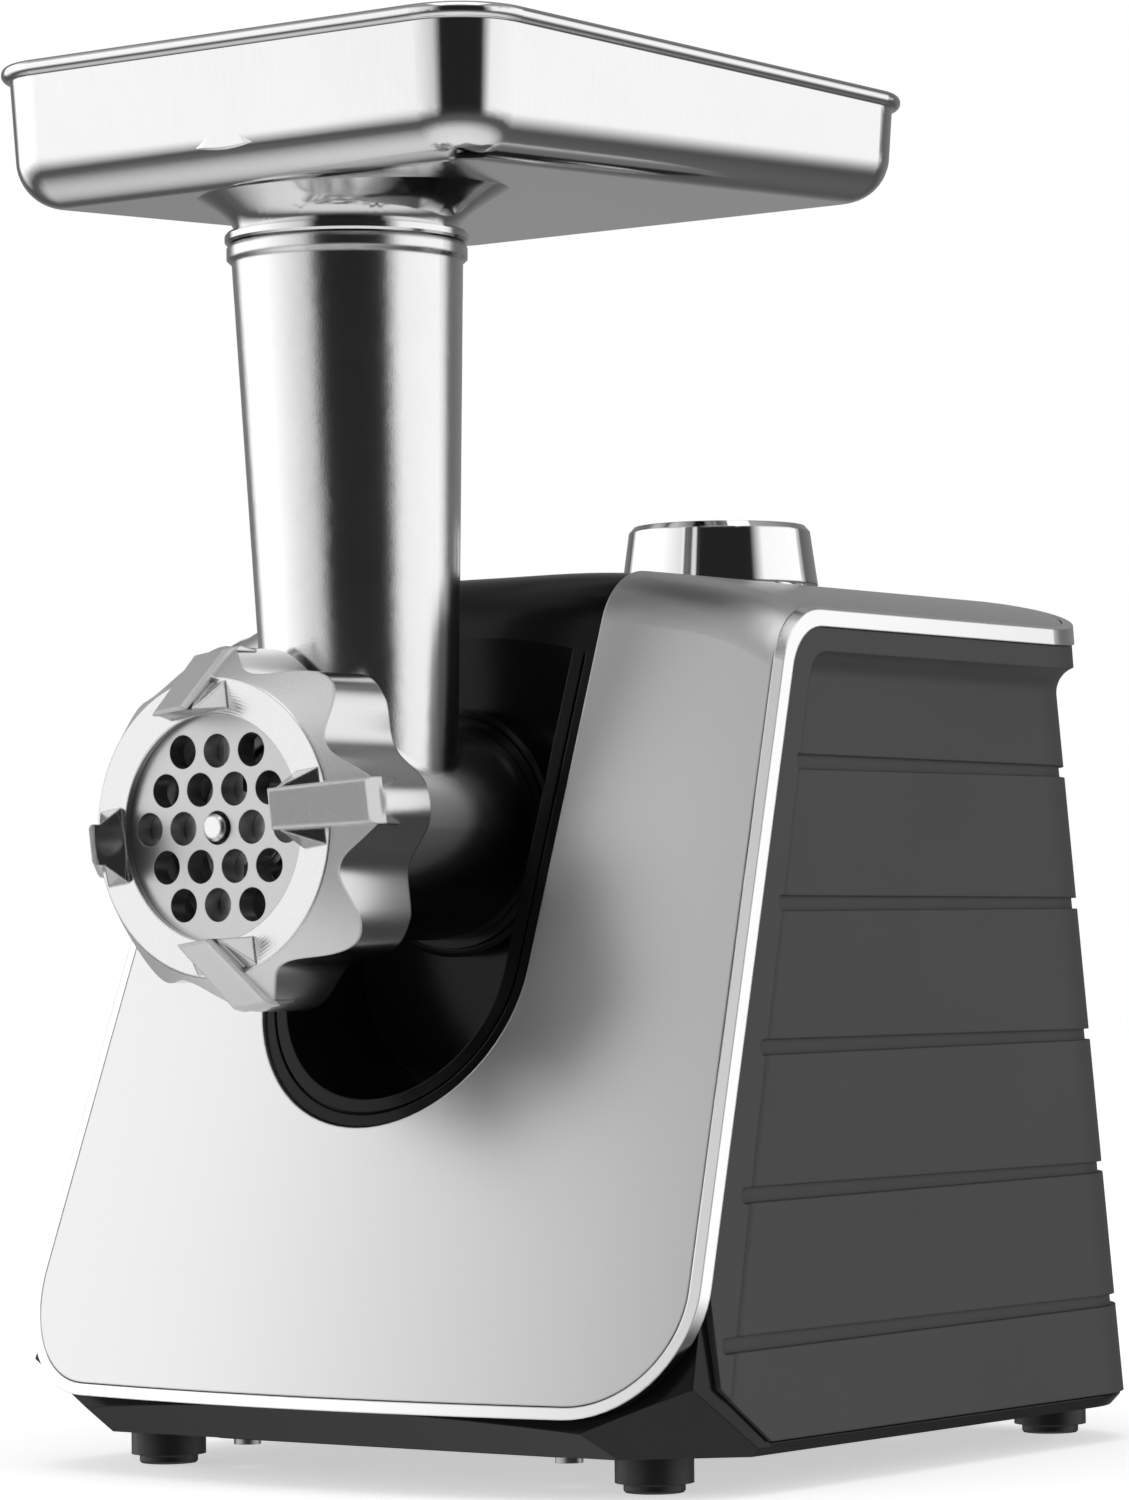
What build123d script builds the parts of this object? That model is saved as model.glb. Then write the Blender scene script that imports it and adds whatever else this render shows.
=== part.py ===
from build123d import *
import os
from math import acos, atan, cos, degrees, pi, radians, sin, sqrt, tan

# Electric meat grinder, millimetres, +Z up, +Y towards the back, feet on Z = 0.
# The grinding head points to -Y; X = 0 is the plane of symmetry of the housing.

os.makedirs("parts", exist_ok=True)

# ---- housing form ----
HALF_AT_ZERO = 105.5     # half width of the front panel extrapolated to Z = 0
SIDE_TAPER = 0.069       # half width lost per mm of height
FIELD_HALF = 105.0       # half width of the recessed side field at Z = 0
FIELD_TAPER = 0.095
BACK = 141.7             # back of the overhanging lip
FIELD_BACK = 137.0       # back of the recessed field
REAR_RADIUS = 38.0
CROWN_RADIUS = 428.0     # bow of the front panel across its width
CROWN_START = -108.5     # Y of the middle of the front panel extrapolated to Z = 0
CROWN_LEAN = 0.3745      # Y gained per mm of height along the middle
EDGE_START = -94.8       # the same for the panel's side edges
EDGE_LEAN = 0.358
TOP = 224.0              # top of the housing on its middle line
RIDGE_RADIUS = 20.0
PANEL_LOW = 19.5
PANEL_CORNER = 28.0
TRIM_WIDTH = 2.8
LIP_HEIGHT = 11.0
COVER_WALL = 2.6
COVER_LOW = 12.5
BASE_LOW = 9.0
COVE = 7.0               # radius under the covers' lip

# ---- recess and control strip ----
SLOT = 40.6
SLOT_CENTRE = 124.0
POCKET = 33.4
POCKET_BACK = -30.0
STRIP_FRONT = 2.0

# ---- grinding head ----
AXIS_Z = 158.0
BARREL = 26.8
BARREL_BORE = 23.9
SPIGOT = 25.9
SPIGOT_BACK = -9.0
COLLAR = 31.0
COLLAR_FRONT = -37.0
SOCKET_BORE = 26.3
SOCKET_BACK = -5.0
MOUTH = 34.2
MOUTH_BACK = -104.0
NUT_FRONT = -129.5
NUT_BACK = -100.3
NUT_BORE = 26.9
NUT_THREAD = 34.55
NUT_SEAT = -127.5
NUT_FACE = 35.4
LOBES = 8
LOBE = 43.8             # crest radius of the grip lobes
VALLEY = 37.4           # radius between them
LUG_TIP = -141.3
LOBE_ANGLE = 7.5
PLATE_FRONT = -127.4
PLATE_THICK = 5.0
PLATE_RADIUS = 31.0
HOLE = 4.0
HOLE_PITCH = 10.5
TUBE_TOP = 297.0
TUBE_LEAN = -0.0337

# ---- tray ----
TRAY_HALF = 78.0
TRAY_FRONT = -127.0
TRAY_BACK = 66.8
TRAY_TOP = 347.0
TRAY_SHEET = 1.0
TRAY_CORNER = 17.5
TRAY_FLOOR = 311.4       # underside of the floor near the front
ROLL = 3.8

# ---- knob ----
KNOB_Y = 82.7
KNOB_LOW = 225.6
KNOB_TOP = 241.6

# ---- feet ----
FRONT_FOOT = (75.4, -58.6)
REAR_FOOT = (74.0, 124.5)

FOOT_PLACES = [FRONT_FOOT, REAR_FOOT, (-FRONT_FOOT[0], FRONT_FOOT[1]), (-REAR_FOOT[0], REAR_FOOT[1])]

# ---- release button in the back wall of the recess, (x, z) ----
BUTTON = (-26.0, 190.0)
SPRING_LENGTH = 11.9     # pressed length left over the button's 3 mm travel

# ---- drive train, all shafts parallel to Y ----
HEX_FLATS = 14.0
HEX_END = 1.5
AUGER = 23.2
PRESSURE_ANGLE = 25.0
BACKLASH = 0.16
BUSH_GAP = 0.05
SHAFT_OUT = (0.0, 158.0)
SHAFT_LOW = (22.5, 119.03)
SHAFT_HIGH = (-7.5, 96.53)
MOTOR = (0.0, 61.32)
STAGE_OUT = (2.0, 12.0)
STAGE_MID = (13.5, 21.5)
STAGE_IN = (23.0, 29.0)
CASE_FRONT = -4.0
CASE_BACK = 35.0


def save(name, shape):
    """Write one node as a STEP file."""
    export_step(shape, "parts/" + name + ".step")


def block(x0, x1, y0, y1, z0, z1):
    """Box given by its extents."""
    return Pos((x0 + x1) / 2, (y0 + y1) / 2, (z0 + z1) / 2) * Box(x1 - x0, y1 - y0, z1 - z0)


def rod_y(radius, y0, y1, x=0.0, z=0.0):
    """Cylinder parallel to Y."""
    body = Cylinder(radius, y1 - y0)
    return Pos(x, (y0 + y1) / 2, z) * (Rot(-90, 0, 0) * body)


def rod_z(radius, z0, z1, x=0.0, y=0.0):
    """Cylinder parallel to Z."""
    return Pos(x, y, (z0 + z1) / 2) * Cylinder(radius, z1 - z0)


def rod_x(radius, x0, x1, y=0.0, z=0.0):
    """Cylinder parallel to X."""
    return Pos((x0 + x1) / 2, y, z) * (Rot(0, 90, 0) * Cylinder(radius, x1 - x0))


def tube_y(outer, inner, y0, y1, x=0.0, z=0.0):
    """Hollow cylinder parallel to Y."""
    return rod_y(outer, y0, y1, x, z) - rod_y(inner, y0 - 1, y1 + 1, x, z)


def turned_y(points, x=0.0, z=0.0):
    """Solid of revolution about a line parallel to Y; points are (radius, y)."""
    outline = Polyline(*[(r, y, 0) for r, y in points], close=True)
    solid = revolve(make_face(outline), Axis.Y)
    return Pos(x, 0, z) * solid


def turned_z(points, x=0.0, y=0.0):
    """Solid of revolution about a line parallel to Z; points are (radius, z)."""
    outline = Polyline(*[(r, 0, h) for r, h in points], close=True)
    solid = revolve(make_face(outline), Axis.Z)
    return Pos(x, y, 0) * solid


def side_prism(points, x0, x1):
    """Outline in the YZ plane swept along X."""
    outline = Polyline(*[(x0, y, z) for y, z in points], close=True)
    return extrude(make_face(outline), x1 - x0, dir=(1, 0, 0))


def front_prism(points, y0, y1):
    """Outline in the XZ plane swept along Y."""
    outline = Polyline(*[(x, y0, z) for x, z in points], close=True)
    return extrude(make_face(outline), y1 - y0, dir=(0, 1, 0))


def crown(inset):
    """Large cylinder whose surface is the bowed, leaning front."""
    lean = atan(CROWN_LEAN)
    along = Vector(0, sin(lean), cos(lean))
    back = Vector(0, cos(lean), -sin(lean))
    radius = CROWN_RADIUS - inset
    start = Vector(0, CROWN_START, 0) + back * (CROWN_RADIUS)
    plane = Plane(origin=start - along * 300, x_dir=(1, 0, 0), z_dir=along)
    return plane * (Pos(0, 0, 400) * Cylinder(radius, 800))


def form(front, top, side, back, low, half=HALF_AT_ZERO, taper=SIDE_TAPER, rear=BACK, corner=REAR_RADIUS,
         ridged=True):
    """Housing shape with each of its faces moved in by its own amount."""
    edge = 211.0 - top
    reach = half - side - taper * edge
    low_reach = half - side - taper * low
    right = [(reach, edge), (75, 216.3 - top), (58, 220.2 - top), (40, 223.0 - top), (0, TOP - top)]
    points = right + [(-x, z) for x, z in reversed(right[:-1])]
    roof = Spline(*[(x, -170, z) for x, z in points])
    walls = Polyline((-reach, -170, edge), (-low_reach, -170, low), (low_reach, -170, low), (reach, -170, edge))
    face = make_face([roof, walls])
    y_back = rear - back
    prism = extrude(face, y_back + 170, dir=(0, 1, 0))
    uprights = prism.edges().filter_by(lambda e: abs(e.center().Y - y_back) < 0.01 and abs(e.center().X) > 60
                                       and e.length > 100)
    prism = fillet(uprights, corner - side)
    prism = prism & crown(front)
    if not ridged:
        return prism
    ridge = prism.edges().filter_by(lambda e: e.bounding_box().size.X > 150 and e.center().Z > 180
                                    and e.center().Y < 20)
    return fillet(ridge, RIDGE_RADIUS - front)


def field(front, top, side, back, low):
    """Recessed field of the side and rear covers, with a plain edge at the top front."""
    return form(front, top, side, back, low, FIELD_HALF, FIELD_TAPER, FIELD_BACK, 34.0, False)


def panel_outline(inset):
    """Prism along Y of the front panel's outline, with its lower corners rounded."""
    low = PANEL_LOW + inset
    low_half = HALF_AT_ZERO - inset - SIDE_TAPER * low
    high_half = HALF_AT_ZERO - inset - SIDE_TAPER * 260
    points = [(-low_half, low), (low_half, low), (high_half, 260), (-high_half, 260)]
    prism = front_prism(points, -170, 170)
    corners = prism.edges().filter_by(Axis.Y).sort_by(Axis.Z)[:2]
    return fillet(corners, PANEL_CORNER - inset)


def slot_prism(half, y0, y1):
    """Prism along Y of the U-shaped slot; its round end is a circle on the leaning panel."""
    lean = atan(EDGE_LEAN)
    plane = Plane(origin=(0, y0, SLOT_CENTRE), x_dir=(1, 0, 0), z_dir=(0, -cos(lean), sin(lean)))
    outline = plane * (Circle(half) + Pos(0, 75) * Rectangle(2 * half, 150))
    start = extrude(outline, (y1 - y0) * 2, dir=(0, 1, 0))
    return (start + Pos(0, -(y1 - y0), 0) * start) & block(-60, 60, y0, y1, 0, 300)


def corner_zone():
    """Wedge at the lower front corners that belongs to the base."""
    edge = EDGE_START + EDGE_LEAN * 50 + 4.5
    points = [(-170, 50), (edge, 50), (edge + 2, 26), (-50, 12), (-50, 0), (-170, 0)]
    return side_prism(points, -120, 120)


def make_skins():
    """Silver front panel, bright trim and the dark covers."""
    slot = slot_prism(SLOT, -160, 170)
    seam = TRIM_WIDTH + 0.25
    panel = form(0, 0, seam, seam, 5) & panel_outline(seam)
    panel = panel - form(2.2, 2.2, -6, -6, -20) - slot
    window = form(-8, -8, TRIM_WIDTH, TRIM_WIDTH, -10) & panel_outline(TRIM_WIDTH)
    trim = form(0, 0, 0, 0, 5) & panel_outline(0)
    trim = trim - form(4, 5.5, -6, -6, -20) - window - slot
    save("front_panel", panel)
    save("trim_frame", trim)


def coved(recess):
    """Rounds the recess along the lip, which leaves a cove between the lip and the field."""
    wide = field(-13, -31, -1, -1, -21)
    deeper = form(LIP_HEIGHT + 1, LIP_HEIGHT + 1, -15, -15, -1)
    along = []
    for edge in recess.edges():
        middle = edge @ 0.5
        if middle.Z > 5 and wide.is_inside(middle) and not deeper.is_inside(middle):
            along.append(edge)
    return fillet(along, COVE)


def cover_shell():
    """Side and rear walls in one piece: lip at the top and front, cove, recessed field."""
    outside = form(4.2, 5.75, -6, -6, COVER_LOW) & form(-8, -8, 0.7, 0.7, COVER_LOW)
    recess = form(LIP_HEIGHT, LIP_HEIGHT, -14, -14, 0) - field(-12, -30, 0, 0, -20)
    shell = outside - coved(recess)
    shell = shell - field(13, 13, COVER_WALL, COVER_WALL, 0)
    half_low = HALF_AT_ZERO - 9.5
    half_high = HALF_AT_ZERO - 9.5 - SIDE_TAPER * 260
    core = front_prism([(-half_low, 0), (half_low, 0), (half_high, 260), (-half_high, 260)], -170, 104)
    shell = shell - core - corner_zone()
    return shell


def groove_cutters():
    """Five shallow wedge grooves that run back along each side and round the rear corners."""
    inner = field(-30, -40, 1.3, 1.3, -20)
    cutters = []
    for top in (175.6, 141.0, 106.6, 72.0, 37.6):
        start = EDGE_START + 13.1 + 0.352 * top
        points = [(start, top - 0.8), (start + 0.8, top), (160, top), (160, top - 2.6), (start + 1, top - 3.8),
                  (start, top - 3)]
        cutters.append(side_prism(points, -125, 125) - inner - block(-60, 60, 100, 170, 0, 300))
    return cutters


def make_covers():
    """Left, right and rear covers."""
    shell = cover_shell()
    for cutter in groove_cutters():
        shell = shell - cutter
    save("side_cover_right", shell & block(56, 130, -170, 170, 0, 300))
    save("side_cover_left", shell & block(-130, -56, -170, 170, 0, 300))
    rear = shell & block(-55.8, 55.8, 100, 170, 0, 300)
    for z in range(60, 118, 8):
        rear = rear - block(-32, 32, 120, 170, z, z + 3.5)
    rear = rear - rod_y(8.2, 120, 170, 34, 30)
    save("rear_cover", rear)


def make_recess():
    """Black liner of the U-shaped slot, with its pocket, and the strip along the top."""
    outer = form(1.0, 0.8, 0, 0, 5)
    inner = form(3.4, 3.2, -6, -6, -20)
    skin = (outer - inner) & slot_prism(SLOT - 0.3, -160, STRIP_FRONT)
    plug = outer & slot_prism(POCKET + 2.2, -160, POCKET_BACK + 2.4)
    liner = skin + plug
    liner = liner - slot_prism(POCKET, -160, POCKET_BACK)
    line = slot_prism(SLOT - 3.2, -160, POCKET_BACK) - slot_prism(SLOT - 3.9, -161, POCKET_BACK + 1)
    liner = liner - (line - form(1.9, 1.7, -6, -6, -20))
    liner = liner - rod_y(COLLAR - 1.7, -60, 0, 0, AXIS_Z)
    liner = liner - rod_y(4.9, -40, -20, BUTTON[0], BUTTON[1])
    save("recess_liner", liner)
    strip = (outer - inner) & block(-SLOT + 0.3, SLOT - 0.3, STRIP_FRONT + 0.3, FIELD_BACK - 0.8, 150, 260)
    strip = strip - rod_z(4.4, 200, 240, 0, KNOB_Y)
    save("control_strip", strip)


def undercut(inset=0.0):
    """What the base gives up below the front: a slope in front and one across each lower corner."""
    slopes = [((0, -1, -1.81), (0, -96, 19.5))]
    for sign in (-1, 1):
        slopes.append(((sign, -1, -1.5), (103 * sign, -76, 25)))
    cut = None
    for normal, point in slopes:
        out = Vector(*normal).normalized()
        plane = Plane(origin=Vector(*point) - out * inset, x_dir=(1, normal[0], 0), z_dir=out)
        slab = plane * (Pos(0, 0, 60) * Box(400, 400, 120))
        cut = slab if cut is None else cut + slab
    return cut


def make_base():
    """Black base tray with a bevelled lower edge and raised, rounded front corners."""
    low_form = field(5.2, 0, 1.0, 1.0, BASE_LOW)
    outer = low_form & block(-130, 130, -170, 170, 0, COVER_LOW - 0.4)
    lower = outer.edges().filter_by(lambda e: e.center().Z < BASE_LOW + 0.1)
    outer = chamfer(lower, 2.6) - undercut()
    front = low_form & block(-130, 130, -170, -40, BASE_LOW + 2, 49.6)
    front = front & corner_zone() - undercut()
    inner = field(8.0, 0, 3.6, 3.6, -20) - undercut(3.0)
    base = outer + (front - inner)
    for x, y in FOOT_PLACES:
        base = base - rod_z(6.3, 0, BASE_LOW + 1.2, x, y)
        base = base + rod_z(5.0, COVER_LOW - 1, COVER_LOW + 4, x, y) - rod_z(2.2, 0, 30, x, y)
    save("base_tray", base)
    plate = block(-58, 58, -66, 96, BASE_LOW - 1.4, BASE_LOW - 0.05)
    plate = fillet(plate.edges().filter_by(Axis.Z), 8)
    for count in range(6):
        x = -34 + 12 * count
        plate = plate - block(x, x + 4, 20, 74, 0, 20)
    save("bottom_plate", plate)
    screws = []
    for x in (-50, 50):
        for y in (-58, 88):
            head = Pos(x, y, BASE_LOW - 2.4) * Cylinder(3.4, 1.8)
            cross = Box(4.6, 1.0, 1.6) + Box(1.0, 4.6, 1.6)
            screws.append(head - Pos(x, y, BASE_LOW - 3.2) * cross)
    save("bottom_screws", Compound(children=screws))
    feet = []
    for x, y in FOOT_PLACES:
        foot = turned_z([(0, 0), (7.0, 0), (7.4, 0.5), (7.4, 2.0), (9.45, 2.3), (9.45, BASE_LOW - 0.05),
                         (6.1, BASE_LOW - 0.05), (6.1, BASE_LOW + 1.1), (0, BASE_LOW + 1.1)], x, y)
        feet.append(foot - rod_z(2.4, -1, 6, x, y))
    save("feet", Compound(children=feet))


def make_collar():
    """Socket that the head plugs into: a stepped ring in front and a sleeve behind it."""
    collar = turned_y([(SOCKET_BORE, COLLAR_FRONT), (29.0, COLLAR_FRONT), (29.0, COLLAR_FRONT + 1.2),
                       (29.6, COLLAR_FRONT + 1.2), (29.6, COLLAR_FRONT + 0.4), (COLLAR, COLLAR_FRONT + 0.9),
                       (COLLAR, POCKET_BACK - 0.05), (29.1, POCKET_BACK - 0.05), (29.1, SOCKET_BACK),
                       (SOCKET_BORE, SOCKET_BACK)], 0, AXIS_Z)
    save("socket_collar", collar)


def cone_tube(r0, y0, r1, y1, z0, z1):
    """Solid cone along the leaning centre line of the feed tube."""
    low = Plane(origin=(0, y0, z0)) * Circle(r0)
    high = Plane(origin=(0, y1, z1)) * Circle(r1)
    return loft([low, high])


def tube_centre(z):
    """Y of the feed tube's centre at a height."""
    return -73.5 + TUBE_LEAN * (z - 214.4)


def make_head():
    """Cast barrel, feed tube and threaded mouth in one piece."""
    radius_low = 25.05 - 0.0396 * (214.4 - AXIS_Z)
    radius_top = 25.05 + 0.0396 * (TUBE_TOP - 214.4)
    barrel = rod_y(BARREL, MOUTH_BACK, COLLAR_FRONT - 0.4, 0, AXIS_Z)
    tube = cone_tube(radius_low, tube_centre(AXIS_Z), radius_top, tube_centre(TUBE_TOP), AXIS_Z, TUBE_TOP)
    body = barrel + tube
    join = body.edges().filter_by(lambda e: e.center().Z > AXIS_Z + 5 and e.center().Z < AXIS_Z + 30
                                  and e.bounding_box().size.X > 30 and e.bounding_box().size.Y > 30)
    body = fillet(join, 2.5)
    mouth = turned_y([(0, -126.0), (MOUTH - 0.8, -126.0), (MOUTH, -125.2), (MOUTH, -107.0), (BARREL, MOUTH_BACK + 2),
                      (0, MOUTH_BACK + 2)], 0, AXIS_Z)
    spigot = rod_y(SPIGOT, COLLAR_FRONT - 1, SPIGOT_BACK, 0, AXIS_Z)
    bead = Pos(0, tube_centre(299), 0) * turned_z([(0, 296.6), (28.4, 296.6), (29.5, 297.6), (29.5, 300.2),
                                                    (28.9, 301.0), (0, 301.0)])
    body = body + mouth + spigot + bead
    body = body - cone_tube(radius_low - 2.7, tube_centre(AXIS_Z), radius_top - 2.7, tube_centre(TUBE_TOP + 8),
                            AXIS_Z, TUBE_TOP + 8)
    bore = turned_y([(0, -130), (PLATE_RADIUS + 0.35, -130), (PLATE_RADIUS + 0.35, -122.3), (29.0, -122.3),
                     (29.0, -110), (BARREL_BORE, -104), (BARREL_BORE, -34), (14.4, -30), (14.4, -14),
                     (0, -14)], 0, AXIS_Z)
    body = body - bore - rod_y(10.6, -20, 0, 0, AXIS_Z)
    body = body + block(-1.6, 1.6, -125.8, -122.4, AXIS_Z - PLATE_RADIUS - 0.6, AXIS_Z - PLATE_RADIUS + 1.5)
    for sign in (-1, 1):
        body = body + Pos(sign * 25.5, -28, AXIS_Z) * (Rot(0, 90, 0) * Cylinder(2.2, 1.1))
    save("head_body", body)


def nut_blank():
    """Turned blank of the ring nut, threaded bore simplified to a plain one."""
    outside = [(NUT_BORE, NUT_FRONT), (NUT_FACE, NUT_FRONT), (NUT_FACE + 0.6, NUT_FRONT + 0.6),
               (LOBE + 1, NUT_FRONT + 12.5), (LOBE + 1, NUT_BACK - 1.7), (LOBE - 1.6, NUT_BACK)]
    inside = [(NUT_THREAD, NUT_BACK), (NUT_THREAD, NUT_SEAT), (NUT_BORE, NUT_SEAT)]
    return turned_y(outside + inside)


def lobed_prism():
    """Prism along Y with a smooth wavy outline of eight lobes, the full depth of the nut."""
    mean = (LOBE + VALLEY) / 2
    swing = (LOBE - VALLEY) / 2
    points = []
    for step in range(8 * LOBES):
        angle = 2 * pi * step / (8 * LOBES)
        radius = mean + swing * cos(LOBES * (angle - radians(LOBE_ANGLE)))
        points.append((radius * cos(angle), NUT_FRONT - 1, radius * sin(angle)))
    outline = Spline(*points, periodic=True)
    return extrude(make_face(outline), NUT_BACK - NUT_FRONT + 2, dir=(0, 1, 0))


def nut_lug():
    """One gripping lug on the +X side: a ridge from its tip back to the lobe, with a rib at its root."""
    side = Polyline((27.1, LUG_TIP + 0.5, 0), (27.8, LUG_TIP, 0), (42.2, LUG_TIP + 18, 0), (43.2, LUG_TIP + 23, 0),
                    (42.4, LUG_TIP + 29, 0), (36.0, LUG_TIP + 29, 0), (35.2, -127.9, 0), (27.1, -127.9, 0),
                    close=True)
    ridge = Pos(0, 0, -9) * extrude(make_face(side), 18, dir=(0, 0, 1))
    plan = Polyline((26, -150, -4.8), (26, -150, 4.8), (44.5, -150, 5.6), (44.5, -150, -5.6), close=True)
    lug = ridge & extrude(make_face(plan), 60, dir=(0, 1, 0))
    crest = lug.edges().filter_by(lambda e: e.bounding_box().size.Y > 15 and abs(e.center().Z) > 3
                                  and e.bounding_box().size.X > 8)
    lug = fillet(crest, 1.2)
    wedge = Polyline((27.1, -129.0, -9.4), (27.1, -129.0, 9.4), (27.1, -141.0, 3.4), (27.1, -141.0, -3.4),
                     close=True)
    rib_side = Polyline((27.1, -128.4, -9), (27.1, -138.0, -9), (34.6, -128.4, -9), close=True)
    rib = extrude(make_face(rib_side), 18.0, dir=(0, 0, 1))
    return lug + (rib & extrude(make_face(wedge), 9.0, dir=(1, 0, 0)))


def make_nut():
    """Ring nut with eight grip lobes, four of them carrying lugs."""
    nut = nut_blank() & lobed_prism()
    lug = nut_lug()
    for count in range(4):
        nut = nut + Rot(0, -(LOBE_ANGLE + 90 * count), 0) * lug
    save("ring_nut", Pos(0, 0, AXIS_Z) * nut)


def plate_holes():
    """Centres of the plate's holes on a triangular grid, the middle one left out."""
    centres = []
    for row in range(-2, 3):
        for step in range(-4, 5):
            x = (step + (row % 2) / 2) * HOLE_PITCH
            z = row * HOLE_PITCH * sqrt(3) / 2
            if 2 < sqrt(x * x + z * z) < 22.5:
                centres.append((x, z))
    return centres


def make_plate():
    """Perforated cutting plate with a keyway at its lower edge."""
    y0 = PLATE_FRONT
    y1 = PLATE_FRONT + PLATE_THICK
    plate = rod_y(PLATE_RADIUS, y0, y1, 0, 0)
    for x, z in plate_holes():
        plate = plate - rod_y(HOLE, y0 - 1, y1 + 1, x, z)
    plate = plate - rod_y(HOLE, y0 - 1, y1 + 1, 0, 0)
    plate = plate - block(-2.0, 2.0, y0 - 1, y1 + 1, -PLATE_RADIUS - 2, -PLATE_RADIUS + 2.2)
    save("cutting_plate", Pos(0, 0, AXIS_Z) * plate)


def make_blade():
    """Four-armed knife with a square hole, sharp side towards the plate."""
    y1 = PLATE_FRONT + PLATE_THICK + 0.12
    hub = rod_y(9.5, y1, y1 + 7.5)
    blade = hub
    for count in range(4):
        arm = block(0, 26.5, y1, y1 + 4.5, -3.6, 3.6)
        bevel = Pos(16, y1 + 4.6, 3.4) * (Rot(40, 0, 0) * Box(40, 9, 3.4))
        blade = blade + Rot(0, 90 * count, 0) * (arm - bevel)
    blade = blade - block(-4.15, 4.15, y1 - 1, y1 + 10, -4.15, 4.15)
    save("knife", Pos(0, 0, AXIS_Z) * blade)


def make_auger():
    """Screw conveyor: core, one helical flight, square neck and front pin, rear shaft with hexagon."""
    profile = Polyline((8.0, -111.6, 0), (8.0, -106.8, 0), (AUGER, -108.4, 0), (AUGER, -110.6, 0), close=True)
    path = Rot(-90, 0, 0) * Helix(pitch=24.0, height=66.0, radius=8.0)
    flight = Pos(0, -110.0, 0) * sweep(Pos(0, 110.0, 0) * make_face(profile), path=path, is_frenet=True)
    auger = rod_y(11.0, -114.4, -40.0) + flight
    auger = auger - turned_y([(AUGER - 0.05, -120), (30, -120), (30, -30), (AUGER - 0.05, -30)])
    auger = auger + rod_y(12.2, -40.5, -15.0) + block(-4.0, 4.0, -122.4, -114, -4.0, 4.0)
    auger = auger + turned_y([(0, -129.3), (2.6, -129.3), (3.3, -128.6), (3.3, -122), (0, -122)])
    auger = auger + hexagon(HEX_FLATS, -16, HEX_END)
    save("auger", Pos(0, 0, AXIS_Z) * auger)
    save("thrust_washer", tube_y(20.0, 12.3, -37.0, -34.3, 0, AXIS_Z))
    save("rear_bush", tube_y(14.38, 12.2 + BUSH_GAP, -29.5, -14.2, 0, AXIS_Z))


def hexagon(flats, y0, y1):
    """Hexagonal bar parallel to Y, given by its width across flats."""
    radius = flats / sqrt(3)
    corners = [(radius * cos(radians(60 * k)), y0, radius * sin(radians(60 * k))) for k in range(6)]
    outline = Polyline(*corners, close=True)
    return extrude(make_face(outline), y1 - y0, dir=(0, 1, 0))


def make_tray():
    """Pressed sheet tray with a rolled rim and a funnel down into the feed tube."""
    outer = tray_form(0)
    inner = tray_form(TRAY_SHEET)
    tray = outer - inner
    centre = tube_centre(300)
    neck = turned_z([(23.6, 290.0), (24.5, 290.0), (24.5, 301.3), (29.4, 301.3), (29.9, 301.9), (29.9, 303.3),
                     (29.3, 304.0), (27.4, 304.2), (27.4, 305.6), (26.0, 305.6), (23.6, 302.5)], 0, centre)
    tray = tray - rod_z(25.9, 280, 340, 0, centre) + neck
    rim = rim_ring()
    tray = tray + rim
    save("tray", tray)


def tray_form(inset):
    """Solid shape of the tray moved in by the sheet thickness."""
    half = TRAY_HALF - ROLL / 2 - inset
    depth = (TRAY_BACK - TRAY_FRONT) / 2 - ROLL / 2 - inset
    middle = (TRAY_BACK + TRAY_FRONT) / 2
    rim_height = TRAY_TOP - ROLL / 2
    outline = RectangleRounded(2 * half, 2 * depth, TRAY_CORNER - inset)
    walls = extrude(Pos(0, middle, rim_height) * outline, -52, taper=4)
    floor_low = TRAY_FLOOR + inset
    above = side_prism([(-170, floor_low - 2.0), (120, floor_low + 11.5), (120, 400), (-170, 400)], -120, 120)
    pan = walls & above
    low = pan.edges().filter_by(lambda e: e.center().Z < floor_low + 12 and e.bounding_box().size.Z < 12)
    pan = fillet(low, 12 - inset)
    pan = pan + (funnel_form(inset) & walls)
    if inset:
        pan = pan + extrude(Pos(0, middle, rim_height - 0.01) * outline, 10)
    return pan


def funnel_form(inset):
    """Bell below the tray's floor that narrows to the feed tube, moved in by the sheet thickness."""
    mouth = 27.4 - inset
    low = TRAY_FLOOR - 7.1
    edge = (mouth + 20, 0, low + 16 + inset)
    bell = Spline((mouth, 0, low), (mouth + 1.6, 0, low + 3.0 + inset * 0.6), (mouth + 6.6, 0, low + 6.8 + inset), edge,
                  tangents=[(0.15, 0, 1), (1, 0, 0.8)])
    close = Polyline(edge, (mouth + 20, 0, low + 22), (0, 0, low + 22), (0, 0, low), (mouth, 0, low))
    return Pos(0, tube_centre(300), 0) * revolve(make_face([bell, close]), Axis.Z)


def rim_ring():
    """Rolled rim, a round bead that follows the tray's outline."""
    depth = (TRAY_BACK - TRAY_FRONT) / 2
    middle = (TRAY_BACK + TRAY_FRONT) / 2
    plane = Plane(origin=(0, middle, TRAY_TOP - ROLL))
    outline = plane * (RectangleRounded(2 * TRAY_HALF, 2 * depth, 19.0)
                       - RectangleRounded(2 * TRAY_HALF - 2 * ROLL, 2 * depth - 2 * ROLL, 19.0 - ROLL))
    ring = extrude(outline, ROLL)
    return fillet(ring.edges(), ROLL / 2 - 0.05)


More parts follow.
